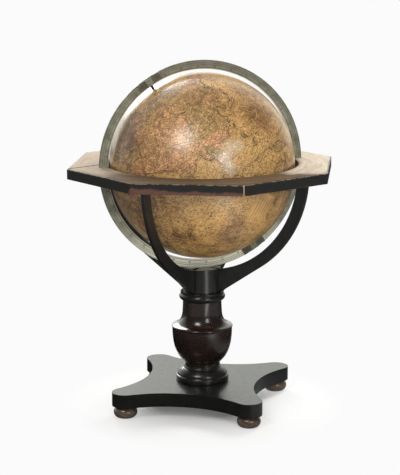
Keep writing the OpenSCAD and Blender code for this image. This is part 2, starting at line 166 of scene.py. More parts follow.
# Name, place and size in metres, watts, colour, and whether it shows in the polish
LAMPS = (
    ("key_softbox", (-1.6, -1.68, 2.25), (0.95, 1.15), 36, (1, 0.97, 0.93), True),
    ("front_softbox", (-0.2, -3.0, 1.3), (0.9, 0.9), 25, (1, 1, 1), False),
    ("front_glint", (0.65, -2.95, 1.2), (0.7, 1.1), 15, (1, 1, 1), True),
    ("rear_window", (-0.16, 1.95, 1.4), (0.6, 1.4), 24, (1, 1, 1), True),
    ("right_softbox", (1.9, 1.3, 2.2), (1.0, 1.0), 64, (1, 1, 1), False),
    ("top_softbox", (0.6, 0.8, 2.7), (1.8, 1.0), 22, (1, 1, 1), False),
)
FLOOR_REACH = 6  # From its middle to its edges, in metres
CAMERA_AIM = Vector((-3.4, 1.0, 285.6))  # In mm
CAMERA_ROLL = math.radians(-0.05)


def linear(hex_colour):
    """The linear colour, with alpha, of an sRGB hex value."""
    parts = [int(hex_colour[i : i + 2], 16) / 255 for i in (1, 3, 5)]
    return tuple(c / 12.92 if c <= 0.04045 else ((c + 0.055) / 1.055) ** 2.4 for c in parts) + (1.0,)


def colour_setting(name, description, hex_colour):
    """A colour that a user may change."""
    default = linear(hex_colour)[:3]
    return bpy.props.FloatVectorProperty(name=name, description=description, subtype="COLOR", default=default)


def length_setting(name, description, default):
    """A length that a user may change, in metres."""
    return bpy.props.FloatProperty(
        name=name, description=description, default=default, unit="LENGTH", subtype="DISTANCE"
    )


def add(tree, kind, *values, **settings):
    """Adds a shader node and returns its first output in use.

    The values fill its sockets in use, in their order. A keyword with a capital fills the socket of that name, and
    the other keywords set the node. The kind may end with an operation, as in "Math ADD". A socket takes a value, a
    colour's hex value, or the socket that feeds it.
    """
    kind, *operation = kind.split()
    node = tree.nodes.new("ShaderNode" + kind)
    if operation:
        node.operation = operation[0]
    for name in [name for name in settings if name[0].islower()]:
        setattr(node, name, settings.pop(name))
    sockets = [s for s in node.inputs if s.enabled]
    named = [next(s for s in sockets if s.name == name.replace("_", " ")) for name in settings]
    for socket, value in zip(sockets[: len(values)] + named, (*values, *settings.values()), strict=True):
        if isinstance(value, bpy.types.NodeSocket):
            tree.links.new(value, socket)
        else:
            socket.default_value = linear(value) if isinstance(value, str) else value
    return next((s for s in node.outputs if s.enabled), None)


def new_material(name, **sockets):
    """Makes a material with its shader's named sockets set. Returns it, its tree, shader and object coordinates."""
    material = bpy.data.materials.new(name)
    material.use_nodes = True
    tree = material.node_tree
    shader = tree.nodes["Principled BSDF"]
    for key, value in sockets.items():
        shader.inputs[key.replace("_", " ")].default_value = value
    place = tree.nodes.new("ShaderNodeTexCoord").outputs["Object"]
    return material, tree, shader, place


def apart(tree, value, at):
    """How far a value is from a level."""
    away = add(tree, "Math SUBTRACT", value, at)
    return add(tree, "Math ABSOLUTE", away)


def line_at(tree, value, at, core, edge, strength, beyond=0.0):
    """A soft line where a value meets a level: full as far as its core, gone past its edge."""
    return add(tree, "MapRange", apart(tree, value, at), core, edge, strength, beyond)


def ruling(tree, value, half_period, core, edge, strength):
    """Soft lines at regular values, from 0 on."""
    away = add(tree, "Math PINGPONG", value, half_period)
    return add(tree, "MapRange", away, core, edge, strength, 0.0)


def together(tree, first, *others):
    """Shares that all have to hold, multiplied."""
    for other in others:
        first = add(tree, "Math MULTIPLY", first, other)
    return first


def strongest(tree, marks):
    """Many printed or engraved marks in one."""
    total = marks[0]
    for mark in marks[1:]:
        total = add(tree, "Math MAXIMUM", total, mark)
    return total


def around(tree, flat, rise, run):
    """Millimetres from an axis, and degrees round it."""
    radius = add(tree, "VectorMath LENGTH", flat).node.outputs["Value"]
    radius = add(tree, "Math MULTIPLY", radius, 1 / MM)
    angle = add(tree, "Math ARCTAN2", rise, run)
    return radius, add(tree, "Math DEGREES", angle)


def divisions(tree, angle, radius, period, low, high, core, edge, strength):
    """Radial lines every so many degrees, between two radii in mm."""
    line = ruling(tree, angle, period / 2, core, edge, strength)
    above = add(tree, "Math GREATER_THAN", radius, low)
    below = add(tree, "Math LESS_THAN", radius, high)
    return together(tree, line, above, below)


def layered(tree, colour, *coats):
    """Lays coats over a colour, each by its share."""
    for share, coat in coats:
        colour = add(tree, "Mix", share, colour, coat, data_type="RGBA")
    return colour


def surface(tree, shader, colour, relief, strength, depth, rough=None):
    """Feeds a shader its colour, its relief of a depth in metres, and its roughness where that varies."""
    bump = add(tree, "Bump", strength, depth, Height=relief)
    for name, value in (("Base Color", colour), ("Normal", bump), ("Roughness", rough)):
        if value:
            tree.links.new(value, shader.inputs[name])


def piece(name, bm, body, nodes, material, smooth=35.0):
    """Makes an object from a bmesh, which rides on a body and stands for CAD nodes."""
    mesh = bpy.data.meshes.new(name)
    bm.to_mesh(mesh)
    bm.free()
    obj = bpy.data.objects.new(name, mesh)
    bpy.context.scene.collection.objects.link(obj)
    mesh.materials.append(material)
    mesh.polygons.foreach_set("use_smooth", [True] * len(mesh.polygons))
    mesh.set_sharp_from_angle(angle=math.radians(smooth))
    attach(obj, body)
    if nodes:
        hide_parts(*nodes)
    return obj


def merged_copy(node):
    """A bmesh copy of a CAD node, with its loose triangles merged and its flat faces made whole."""
    bm = bmesh.new()
    bm.from_mesh(frame["nodes"][node].data)
    bmesh.ops.remove_doubles(bm, verts=bm.verts, dist=WELD)
    bmesh.ops.dissolve_limit(
        bm, angle_limit=FLAT, use_dissolve_boundaries=False, verts=bm.verts, edges=bm.edges, delimit=set()
    )
    bmesh.ops.recalc_face_normals(bm, faces=bm.faces)
    return bm


def round_edges(obj, width, segments=2, angle=38.0):
    """Rounds a piece's sharp edges, as handling and polish leave them."""
    bevel = obj.modifiers.new("rounded_edges", "BEVEL")
    bevel.width = width
    bevel.segments = segments
    bevel.limit_method = "ANGLE"
    bevel.angle_limit = math.radians(angle)
    bevel.use_clamp_overlap = True
    bevel.harden_normals = True
    return obj


def dress(node, material):
    """Gives a CAD node that stays its finish."""
    mesh = frame["nodes"][node].data
    mesh.materials.clear()
    mesh.materials.append(material)


def cad_piece(node, body, material, rounding):
    """The CAD node's own form with rounded edges."""
    obj = piece(f"{node}_finished", merged_copy(node), body, [node], material)
    return round_edges(obj, rounding)


class GlobeSettings(bpy.types.PropertyGroup):
    """Sizes and colours of the globe and its papers."""

    radius: length_setting("Radius", "Outer radius of the map papers", 152.5 * MM)
    paper: length_setting("Paper", "Thickness of the map papers", 0.5 * MM)
    gores: bpy.props.IntProperty(name="Gores", description="Number of printed gores", default=12, min=6, max=24)
    gore_end: bpy.props.FloatProperty(
        name="Gore end", description="Latitude at which the gores end under the polar papers, in degrees",
        default=72.0,
    )
    seam: bpy.props.FloatProperty(name="Seam", description="Gap between two gores, in degrees", default=0.1)
    hole: length_setting("Pole hole", "Radius of the hole for the bush", 5.0 * MM)
    turn: bpy.props.FloatProperty(
        name="First meridian", description="Longitude, in degrees east, that lies in the ring's plane",
        default=187.0,
    )
    step: bpy.props.FloatProperty(name="Mesh step", description="Spacing of the map's mesh, in degrees", default=1.0)
    sea: colour_setting("Sea", "Colour of the plain paper under its varnish", "#ca9f62")
    land: colour_setting("Land", "Colour of the engraved land", "#cfa26a")
    ink: colour_setting("Ink", "Colour of the engraving", "#2e1d12")


class MetalSettings(bpy.types.PropertyGroup):
    """Colours of the brass and steel."""

    ring: colour_setting("Ring", "Colour of the ring's patinated brass", "#a5a28e")
    plate: colour_setting("Pole plates", "Colour of the pole plates", "#85836f")
    numeral: length_setting("Numerals", "Height of the ring's numerals", 3.3 * MM)


class StandSettings(bpy.types.PropertyGroup):
    """Colours and roundings of the horizon and the stand."""

    paper: colour_setting("Horizon paper", "Colour of the horizon's aged paper", "#c7bcac")
    # The handled paper's colour also stands for a painted reflection of the globe, which darkens the front
    paper_front: colour_setting("Handled paper", "Colour of the paper where hands have browned it", "#54402c")
    black: colour_setting("Black polish", "Colour of the ebonised wood", "#0e100e")
    bare: colour_setting("Bare wood", "Colour of the wood where the black has worn off", "#643f33")
    vase: colour_setting("Dark stain", "Colour of the vase's stained wood", "#211512")
    feet: colour_setting("Feet", "Colour of the bun feet's polish", "#5e5044")
    rounding: length_setting("Rounding", "Rounding of the stand's edges", 0.8 * MM)


class StageSettings(bpy.types.PropertyGroup):
    """The studio and the camera."""

    backdrop: colour_setting("Backdrop", "Colour of the floor and the backdrop", "#fbfbfb")
    floor: colour_setting("Floor", "Colour of the lit floor round the object", "#dcdcdc")
    distance: length_setting("Distance", "From the camera to the point it looks at", 2.75)
    azimuth: bpy.props.FloatProperty(
        name="Azimuth", description="Turn of the camera round the globe", default=math.radians(-16.2),
        subtype="ANGLE",
    )
    elevation: bpy.props.FloatProperty(
        name="Elevation", description="Height of the camera over the level", default=math.radians(11.9),
        subtype="ANGLE",
    )
    lens: bpy.props.FloatProperty(
        name="Lens", description="Focal length on a 36 mm wide frame", default=149.4, unit="CAMERA"
    )


def indented(corners, seed):
    """A closed coast with small bays: each stretch is halved, and its middle shifted, until it is short."""
    rng = random.Random(seed)
    points = list(corners)
    for _ in range(HALVINGS):
        finer = []
        for (x0, y0), (x1, y1) in zip(points, points[1:] + points[:1]):
            finer.append((x0, y0))
            length = math.hypot(x1 - x0, y1 - y0)
            if length > SHORT:
                shift = rng.uniform(-SHIFT, SHIFT)
                finer.append(((x0 + x1) / 2 - shift * (y1 - y0), (y0 + y1) / 2 + shift * (x1 - x0)))
        points = finer
    return np.array(points)


def unit_vectors(lon, lat):
    """Points on the unit sphere from degrees east and north."""
    a, b = np.radians(lon), np.radians(lat)
    return np.stack([np.cos(b) * np.cos(a), np.cos(b) * np.sin(a), np.sin(b)], -1)


def coast_distance(lon, lat, coasts, tree):
    """Degrees from each point to the nearest coast, above 0 on land and below 0 at sea."""
    away = np.array([tree.find(p)[2] for p in unit_vectors(lon, lat)])
    land = np.zeros(len(lon), bool)
    for points in coasts:
        x0, y0 = points.T
        x1, y1 = np.roll(points, -1, 0).T
        for turn in (-360, 0, 360):
            x = lon + turn
            near = (x > x0.min()) & (x < x0.max()) & (lat > y0.min()) & (lat < y0.max())
            if not near.any():
                continue
            px, py = x[near, None], lat[near, None]
            rise = np.where(y1 == y0, 1e-9, y1 - y0)
            hits = ((y0 > py) != (y1 > py)) & (px < x0 + (py - y0) / rise * (x1 - x0))
            land[near] ^= hits.sum(1) % 2 == 1
    return np.degrees(away) * np.where(land, 1, -1)


def spots(lon, lat, places):
    """The sum of soft round spots at the points."""
    here, total = unit_vectors(lon, lat), np.zeros(len(lon))
    for east, north, radius, strength in places:
        off = np.degrees(np.arccos(np.clip(here @ unit_vectors(east, north), -1, 1)))
        total += strength * np.exp(-((off / radius) ** 2))
    return total


def frame_panel(lon, lat, east, north, width, height, tilt):
    """Places across and up a panel drawn on the map, 1 at its edges."""
    x = (lon - east) * math.cos(math.radians(north))
    y = lat - north
    c, s = math.cos(math.radians(tilt)), math.sin(math.radians(tilt))
    return (x * c + y * s) / (width / 2), (y * c - x * s) / (height / 2)


def print_map(obj, first_lon, coasts, tree):
    """Writes the map's needs on a paper: place on the earth, the nearest coast, wear, painted light and the panel."""
    mesh = obj.data
    points = np.zeros(len(mesh.vertices) * 3)
    mesh.vertices.foreach_get("co", points)
    back = np.array(TO_GLOBE.inverted())
    local = points.reshape(-1, 3) @ back[:3, :3].T + back[:3, 3]
    lat = np.degrees(np.arcsin(np.clip(local[:, 2] / np.linalg.norm(local, axis=1), -1, 1)))
    lon = np.degrees(np.arctan2(local[:, 1], local[:, 0]))
    middle = lon[0]
    lon = middle + (lon - middle + 180) % 360 - 180 + first_lon
    earth = (lon + 180) % 360 - 180
    slope = math.radians(TROPIC)
    sine = np.sin(np.radians(lat)) * math.cos(slope)
    sine -= np.cos(np.radians(lat)) * math.sin(slope) * np.sin(np.radians(lon))
    ecliptic = np.degrees(np.arcsin(np.clip(sine, -1, 1)))
    across, up = frame_panel(earth, lat, first_lon + PANEL[0], *PANEL[1:])
    if lat.min() * lat.max() < 0:
        sheet = ((lon - lon.mean()) * np.cos(np.radians(lat)) + 2 * lon.mean(), lat)
    else:
        sheet = ((90 - abs(lat)) * np.cos(np.radians(lon)), (90 - abs(lat)) * np.sin(np.radians(lon)))
    values = {
        "coast": coast_distance(earth, lat, coasts, tree),
        "rubbed": spots(earth, lat, RUBBED_AND_GLINT),
        "soil_shade_and_sheen": spots(earth, lat, SOIL_SHADE_AND_SHEEN),
    }
    for name, value in values.items():
        mesh.attributes.new(name, "FLOAT", "POINT").data.foreach_set("value", value.astype(np.float32))
    vectors = {"place": (lon, lat, ecliptic), "sheet": (*sheet, 0 * lat), "panel": (across, up, 0 * up)}
    for name, value in vectors.items():
        flat = np.stack(value, -1).astype(np.float32).ravel()
        mesh.attributes.new(name, "FLOAT_VECTOR", "POINT").data.foreach_set("vector", flat)


def strokes(tree, sheet, scale, half_length, half_width, share, strength):
    """Straight strokes on the flat map, one to a cell, each turned its own way. A share of the cells has one."""
    cell = add(tree, "TexVoronoi", sheet, Scale=scale, voronoi_dimensions="2D").node.outputs
    away = add(tree, "VectorMath SUBTRACT", sheet, cell["Position"])
    pick, turn, _ = add(tree, "SeparateColor", cell["Color"]).node.outputs
    turn = add(tree, "Math MULTIPLY", turn, WHOLE_TURN)
    turned = add(tree, "VectorRotate", Vector=away, Angle=turn, rotation_type="Z_AXIS")
    along, side, _ = add(tree, "SeparateXYZ", turned).node.outputs
    along = add(tree, "Math ABSOLUTE", along)
    side = add(tree, "Math ABSOLUTE", side)
    end = add(tree, "Math LESS_THAN", along, half_length)
    stroke = add(tree, "MapRange", side, 0.5 * half_width, half_width, strength, 0.0)
    kept = add(tree, "Math LESS_THAN", pick, share)
    return together(tree, stroke, end, kept)


def map_material(settings):
    """Hand-coloured engraving on rag paper under brown, crazed varnish: ochre, dark fine ink and a soft gloss."""
    material, tree, shader, where = new_material(
        "engraved_rag_paper_under_spirit_varnish", Roughness=0.42, Coat_Weight=0.9, Coat_Roughness=0.25, Coat_IOR=1.5
    )
    names = ("coast", "rubbed", "soil_shade_and_sheen", "place", "panel", "sheet")
    own = [add(tree, "Attribute", attribute_name=name).node.outputs for name in names]
    coast, rubbed, soil_shade_and_sheen = (outputs["Fac"] for outputs in own[:3])
    place, panel, sheet = (outputs["Vector"] for outputs in own[3:])
    lon, lat, ecliptic = add(tree, "SeparateXYZ", place).node.outputs

    # Small bays of 2 to 4 mm, and the land and sea that they leave
    bays = add(tree, "TexNoise", where, Scale=260.0, Detail=3.0)
    bays = add(tree, "Math SUBTRACT", bays, 0.5)
    shore = add(tree, "Math MULTIPLY_ADD", bays, 1.8, coast)
    is_land = add(tree, "MapRange", shore, -0.06, 0.06)

    # Washes of hand colouring over the regions, 40 mm across
    bent = add(tree, "TexNoise", where, Scale=40.0, Detail=2.0).node.outputs["Color"]
    bent = add(tree, "VectorMath MULTIPLY_ADD", bent, (0.03, 0.03, 0.03), where)
    region = add(tree, "TexVoronoi", bent, Scale=26.0).node.outputs["Color"]
    wash = add(tree, "SeparateColor", region)
    tint = layered(tree, "#dc9f71", (wash, "#b09459"), (0.15, (*settings.land, 1)))
    border = add(tree, "TexVoronoi", bent, Scale=26.0, feature="DISTANCE_TO_EDGE")
    border = add(tree, "MapRange", border, 0.012, 0.03, 0.55, 0.0)
    marks = [add(tree, "Math MULTIPLY", border, is_land)]

    # Coast line, 1 mm wide and coarser than real, and the shading lines, 1 mm apart, that follow it out to sea
    away = add(tree, "Math ABSOLUTE", shore)
    marks.append(add(tree, "MapRange", away, 0.14, 0.3, 0.95, 0.0))
    near = add(tree, "MapRange", shore, -1.5, -0.1, 0.0, 0.8)
    at_sea = add(tree, "Math SUBTRACT", 1.0, is_land)
    marks.append(together(tree, near, at_sea, ruling(tree, lat, 0.2, 0.08, 0.14, 1.0)))

    # Meridians and parallels every 10 degrees, sailing lines, tropics and polar circles. All are 0.5 mm wide, coarser
    # than real, so that they show
    for value, half_period, strength in ((lon, 5.0, 0.55), (lat, 5.0, 0.55), (lon, 15.0, 0.8)):
        marks.append(ruling(tree, value, half_period, 0.05, 0.14, strength))
    for slope, half_period, strength in ((0.8, 9.0, 0.7), (-1.4, 11.0, 0.6)):
        course = add(tree, "Math MULTIPLY_ADD", lat, slope, lon)
        marks.append(ruling(tree, course, half_period, 0.07, 0.18, strength))
    height = add(tree, "Math ABSOLUTE", lat)
    marks += [line_at(tree, height, at, 0.07, 0.16, 0.7) for at in (TROPIC, 90 - TROPIC)]

    # The scales on the equator and the ecliptic, with a block at every second degree
    blocks = add(tree, "Math PINGPONG", lon, 1.0)
    blocks = add(tree, "Math GREATER_THAN", blocks, 0.5)
    for value, strength in ((height, 0.85), (ecliptic, 0.6)):
        off = add(tree, "Math ABSOLUTE", value)
        edges = ruling(tree, off, 0.35, 0.05, 0.12, strength)
        band = add(tree, "Math LESS_THAN", off, 0.8)
        marks.append(add(tree, "Math MULTIPLY", edges, band))
        inner = add(tree, "Math LESS_THAN", off, 0.35)
        marks.append(together(tree, inner, blocks, 0.7 * strength))

    # Rivers and hills: crooked lines round cells of 11 and 6 mm, on the land
    crooked = add(tree, "TexNoise", where, Scale=140.0, Detail=3.0).node.outputs["Color"]
    crooked = add(tree, "VectorMath MULTIPLY_ADD", crooked, (0.012, 0.012, 0.012), where)
    thick = add(tree, "TexNoise", where, Scale=55.0, Detail=2.0)
    for scale, low, high in ((90.0, 0.4, 0.46), (180.0, 0.46, 0.54)):
        rivers = add(tree, "TexVoronoi", crooked, Scale=scale, feature="DISTANCE_TO_EDGE")
        rivers = add(tree, "MapRange", rivers, 0.03, 0.075, 0.55, 0.0)
        where_thick = add(tree, "MapRange", thick, low, high)
        marks.append(together(tree, rivers, where_thick, is_land))

    # Engraved strokes, 3 to 14 mm long, dense on land, thinner at sea, in clusters of 24 mm in the south
    south = add(tree, "MapRange", lat, -16.0, -4.0, 1.0, 0.0)
    cluster = add(tree, "TexNoise", where, Scale=42.0, Detail=3.0)
    cluster = add(tree, "MapRange", cluster, 0.46, 0.6, -0.25, 0.6)
    cluster = add(tree, "Math MULTIPLY", cluster, south)
    for scale, half_length, half_width, on_land, on_sea, strength in STROKES:
        share = add(tree, "MapRange", is_land, To_Min=on_sea, To_Max=on_land)
        share = add(tree, "Math ADD", share, cluster)
        marks.append(strokes(tree, sheet, scale, half_length, half_width, share, strength))

    # Rows of fine engraved dashes along the parallels, dense on land and sparse at sea
    rows = add(tree, "VectorMath MULTIPLY", sheet, (1.0, 3.2, 1.0))
    runs = add(tree, "TexNoise", rows, Scale=0.42, Detail=0.0)
    specks = add(tree, "TexNoise", rows, Scale=2.0, Detail=1.0)
    specks = add(tree, "MapRange", specks, 0.49, 0.53, 0.0, 0.95)
    level = add(tree, "MapRange", is_land, To_Min=0.53, To_Max=0.48)
    runs = add(tree, "Math SUBTRACT", runs, level)
    runs = add(tree, "MapRange", runs, 0.0, 0.02)
    marks.append(add(tree, "Math MULTIPLY", specks, runs))

    # A bare ruled panel in the southern sea, in place of a title
    across, up, _ = add(tree, "SeparateXYZ", panel).node.outputs
    across = add(tree, "Math ABSOLUTE", across)
    upward = add(tree, "Math ABSOLUTE", up)
    rim = add(tree, "Math MAXIMUM", across, upward)
    outside = add(tree, "Math GREATER_THAN", rim, 0.97)
    marks = [add(tree, "Math MULTIPLY", mark, outside) for mark in marks]
    marks += [line_at(tree, rim, at, 0.008, 0.02, 0.7) for at in (0.9, 0.97)]
    in_rules = add(tree, "Math LESS_THAN", rim, 0.78)
    marks.append(together(tree, ruling(tree, up, 0.13, 0.015, 0.04, 0.75), in_rules))

    # All the marks together, worn thin where the paper is rubbed; there it is paler too, partly a painted reflection
    patchy = add(tree, "TexNoise", where, Scale=110.0, Detail=5.0, Roughness=0.65)
    bare = add(tree, "Math MULTIPLY_ADD", rubbed, patchy, -0.28)
    bare = add(tree, "MapRange", bare, 0.0, 0.3)
    faded = add(tree, "Math MULTIPLY_ADD", bare, -0.7, 1.0)
    uneven = add(tree, "MapRange", patchy, 0.3, 0.6, 0.65, 1.0)
    printed = together(tree, strongest(tree, marks), faded, uneven)
    pale = add(tree, "Math MULTIPLY", bare, 0.75)

    # Brown varnish, thick in clouds of 30 to 60 mm, darkest in the stained spots and golden in the south
    clouds = add(tree, "TexNoise", where, Scale=22.0, Detail=4.0, Roughness=0.6)
    # Some spots are painted shade towards the globe's edge, and those below 0 are painted sheen
    dark = add(tree, "Math MULTIPLY", soil_shade_and_sheen, patchy)
    dark = add(tree, "Math MULTIPLY_ADD", dark, 1.1, clouds)
    dark = add(tree, "MapRange", dark, 0.42, 1.05)
    gathered = add(tree, "Math MULTIPLY", cluster, 0.3)
    dark = add(tree, "Math ADD", dark, gathered, use_clamp=True)
    golden = add(tree, "Math MULTIPLY", south, 0.55)

    # Painted highlights on the crazed varnish, 12 mm long, and pale flecks where it has chipped off the rubbed places
    moved = add(tree, "VectorMath ADD", sheet, (40.0, 70.0, 0.0))
    crazing_highlights = strokes(tree, moved, 0.2, 2.3, 0.18, 0.5, 0.55)
    flecks = add(tree, "TexNoise", where, Scale=420.0, Detail=2.0)
    flecks = add(tree, "Math MULTIPLY_ADD", rubbed, 0.12, flecks)
    flecks = add(tree, "MapRange", flecks, 0.75, 0.8)
    colour = layered(
        tree, (*settings.sea, 1), (is_land, tint), (golden, "#d3a35a"), (dark, "#7a5430"), (pale, "#bba68c"),
        (printed, (*settings.ink, 1)), (crazing_highlights, "#e6cb98"), (flecks, "#f0e6c2"),
    )

    # Wrinkles of the varnish, 9 mm, and its crazing in cells of 3 mm
    craze = add(tree, "TexVoronoi", crooked, Scale=330.0, feature="DISTANCE_TO_EDGE")
    craze = add(tree, "MapRange", craze, 0.0, 0.08)
    relief = add(tree, "Math MULTIPLY_ADD", patchy, 0.6, craze)
    surface(tree, shader, colour, relief, 0.35, 0.12 * MM)
    return material


class GLOBE_OT_papers(bpy.types.Operator):
    """Makes the twelve printed gores and the two round papers over the poles"""

    bl_idname = "globe.papers"
    bl_label = "Map papers"

    def paper(self, name, node, low, high, start, sweep, settings, material, over=False):
        """A paper between two latitudes, swept round the polar axis from start by sweep, all in degrees."""
        bm = bmesh.new()
        count = max(2, round((high - low) / settings.step))
        angles = [math.radians(low + (high - low) * i / count) for i in range(count + 1)]
        verts = [bm.verts.new((settings.radius * math.cos(a), 0, settings.radius * math.sin(a))) for a in angles]
        edges = [bm.edges.new(pair) for pair in zip(verts, verts[1:])]
        bmesh.ops.rotate(bm, verts=bm.verts, cent=(0, 0, 0), matrix=Matrix.Rotation(math.radians(start), 3, "Z"))
        bmesh.ops.spin(
            bm,
            geom=verts + edges,
            cent=(0, 0, 0),
            axis=(0, 0, 1),
            angle=math.radians(sweep),
            steps=round(sweep / settings.step),
            use_merge=sweep >= 360,
        )
        bmesh.ops.remove_doubles(bm, verts=bm.verts, dist=PAPER_WELD)
        bmesh.ops.recalc_face_normals(bm, faces=bm.faces)
        outward = sum(f.normal.dot(f.calc_center_median()) for f in bm.faces)
        if outward < 0:
            bmesh.ops.reverse_faces(bm, faces=bm.faces)
        bmesh.ops.solidify(bm, geom=bm.faces[:], thickness=settings.paper)
        if over:
            bmesh.ops.rotate(bm, verts=bm.verts, cent=(0, 0, 0), matrix=Matrix.Rotation(math.pi, 3, "Y"))
        bmesh.ops.transform(bm, matrix=TO_GLOBE, verts=bm.verts)
        return piece(name, bm, "globe", [node], material, smooth=60)

    def execute(self, context):
        settings = context.scene.globe_look
        coasts = [indented(points, name) for name, points in COASTS.items()]
        every = np.concatenate(coasts)
        tree = kdtree.KDTree(len(every))
        for i, p in enumerate(unit_vectors(every[:, 0], every[:, 1])):
            tree.insert(p, i)
        tree.balance()
        material = map_material(settings)
        width = 360 / settings.gores
        papers = []
        end = settings.gore_end
        for i in range(1, settings.gores + 1):
            start, sweep = i * width + settings.seam / 2, width - settings.seam
            papers.append(self.paper(f"gore_{i}", f"map_gore_{i}", -end, end, start, sweep, settings, material))
        top = 90 - math.degrees(math.asin(settings.hole / settings.radius))
        low = end + settings.seam
        for side, over in (("north", False), ("south", True)):
            papers.append(
                self.paper(f"polar_cap_{side}", f"polar_paper_{side}", low, top, 0, 360, settings, material, over)
            )
        for obj in papers:
            print_map(obj, settings.turn, coasts, tree)
        return {"FINISHED"}


def ring_material(settings):
    """Cast brass, filed flat, under a grey-green patina, with its engraved lines filled with black wax."""
    material, tree, shader, where = new_material("patinated_cast_brass", Metallic=0.3, Roughness=0.4)
    offset = add(tree, "VectorMath SUBTRACT", where, CENTRE[:])
    x, _, z = add(tree, "SeparateXYZ", offset).node.outputs
    radius, angle = around(tree, add(tree, "CombineXYZ", X=x, Z=z), z, x)
    angle = add(tree, "Math ADD", angle, 360.0 - POLE_ANGLE)

    # Degree lines between engraved circles, longer at 5 and 10 degrees. They are 0.5 mm wide, coarser than real
    marks = [
        divisions(tree, angle, radius, period, inner, RING_CIRCLES[-1], 0.05, 0.11, 0.85)
        for period, inner in RING_LINES
    ]
    marks += [line_at(tree, radius, at, 0.2, 0.45, 0.75) for at in RING_CIRCLES]

    # Patina in clouds of 15 mm with specks of 1.4 mm, painted lighter below and darker above and along the outer edge
    clouds = add(tree, "TexNoise", where, Scale=60.0, Detail=5.0, Roughness=0.6)
    specks = add(tree, "TexNoise", where, Scale=700.0, Detail=2.0)
    level = add(tree, "Math MULTIPLY_ADD", specks, 0.25, clouds)
    level = add(tree, "MapRange", level, 0.45, 0.8)
    # Painted reflection: lighter below, where the ring faces the lit floor
    low = add(tree, "MapRange", z, -0.15, -0.09, 0.95, 0.0)
    # Painted shade: darker above, and along the outer edge
    high = add(tree, "MapRange", z, 0.02, 0.16, 0.0, 0.6)
    edge = add(tree, "MapRange", radius, 171.9, 172.4, 0.0, 0.65)
    # Painted reflection: the pale band along the inner edge stands for the white backdrop's reflection, not wear
    worn = add(tree, "MapRange", radius, 158.3, 159.0, 0.9, 0.0)
    colour = layered(
        tree, (*settings.ring, 1), (level, "#6e6f60"), (low, "#eeebd6"), (high, "#6b6656"), (edge, "#3b3c33"),
        (worn, "#e0d8bd"), (strongest(tree, marks), "#26251f"),
    )
    rough = add(tree, "MapRange", level, To_Min=0.38, To_Max=0.6)
    surface(tree, shader, colour, specks, 0.3, 0.05 * MM, rough)
    return material


def metal_material(name, colour, dark, metallic, roughness, grain, ends=0.0):
    """A small metal part: its colour, darkened in specks of a size in metres, and past its ends along the ring."""
    material, tree, shader, where = new_material(name, Metallic=metallic, Roughness=roughness)
    specks = add(tree, "TexNoise", where, Scale=1 / grain, Detail=4.0, Roughness=0.6)
    level = add(tree, "MapRange", specks, 0.4, 0.68)
    mixed = layered(tree, colour, (level, dark))
    if ends:
        sideways = POLAR_AXIS.cross(Vector((0, 1, 0)))
        along = add(tree, "VectorMath SUBTRACT", where, CENTRE[:])
        along = add(tree, "VectorMath DOT_PRODUCT", along, sideways[:]).node.outputs["Value"]
        along = add(tree, "Math ABSOLUTE", along)
        tarnish = add(tree, "MapRange", along, ends, ends + 0.8 * MM, 0.0, 0.75)
        mixed = layered(tree, mixed, (tarnish, "#4a483d"))
    surface(tree, shader, mixed, specks, 0.25, 0.05 * MM)
    return material


class GLOBE_OT_meridian(bpy.types.Operator):
    """Finishes the graduated ring, its numerals, the pole plates, screws and pins"""

    bl_idname = "globe.meridian"
    bl_label = "Meridian ring"

    def numerals(self, settings, material):
        """Engraved numerals every ten degrees, from 0 on the equator to 80 by the poles, filled with black wax."""
        bm = bmesh.new()
        for degrees in range(0, 360, 10):
            shown = 90 - abs((degrees + 90) % 180 - 90)
            if shown == 90:
                continue
            curve = bpy.data.curves.new("numeral", "FONT")
            curve.body = str(shown)
            curve.size = settings.numeral * TYPE_SIZE
            curve.align_x = "CENTER"
            curve.align_y = "CENTER"
            curve.extrude = 0.03 * MM
            curve.resolution_u = 3
            text = bpy.data.objects.new("numeral", curve)
            bpy.context.scene.collection.objects.link(text)
            shape = bpy.data.meshes.new_from_object(text.evaluated_get(bpy.context.evaluated_depsgraph_get()))
            a = math.radians(POLE_ANGLE - degrees)
            out = Vector((math.cos(a), 0, math.sin(a)))
            spot = CENTRE + out * NUMERAL_RADIUS * MM + Vector((0, -0.01 * MM, 0))
            across = Vector((math.sin(a), 0, -math.cos(a)))
            turn = Matrix((across, out, Vector((0, -1, 0)))).transposed().to_4x4()
            shape.transform(Matrix.Translation(spot) @ turn)
            bm.from_mesh(shape)
            bpy.data.objects.remove(text)
            bpy.data.meshes.remove(shape)
            bpy.data.curves.remove(curve)
        bmesh.ops.recalc_face_normals(bm, faces=bm.faces)
        return piece("ring_numerals", bm, "meridian", [], material)

    def execute(self, context):
        settings = context.scene.metal_look
        ring = ring_material(settings)
        wax = metal_material("black_engraving_wax", "#22211c", "#33322a", 0.0, 0.6, 0.8 * MM)
        brass = metal_material(
            "dark_plate_brass", (*settings.plate, 1), "#5a594b", 0.4, 0.45, 4 * MM, ends=5.0 * MM
        )
        screw = metal_material("tarnished_screw_steel", "#6a6053", "#40382f", 0.6, 0.5, 1.2 * MM)
        pin = metal_material("turned_pin_steel", "#5d564b", "#37322b", 0.8, 0.4, 1.5 * MM)
        bush = metal_material("turned_bush_brass", "#a58b4f", "#6d5a33", 0.9, 0.35, 2 * MM)
        cad_piece("meridian_ring", "meridian", ring, 0.35 * MM)
        self.numerals(settings, wax)
        for side in ("north", "south"):
            cad_piece(f"pole_plate_{side}", "meridian", brass, 0.3 * MM)
            dress(f"pole_pin_{side}", pin)
            dress(f"axle_bush_{side}", bush)
        dress("plate_screws", screw)
        dress("meridian_rest", bush)
        return {"FINISHED"}


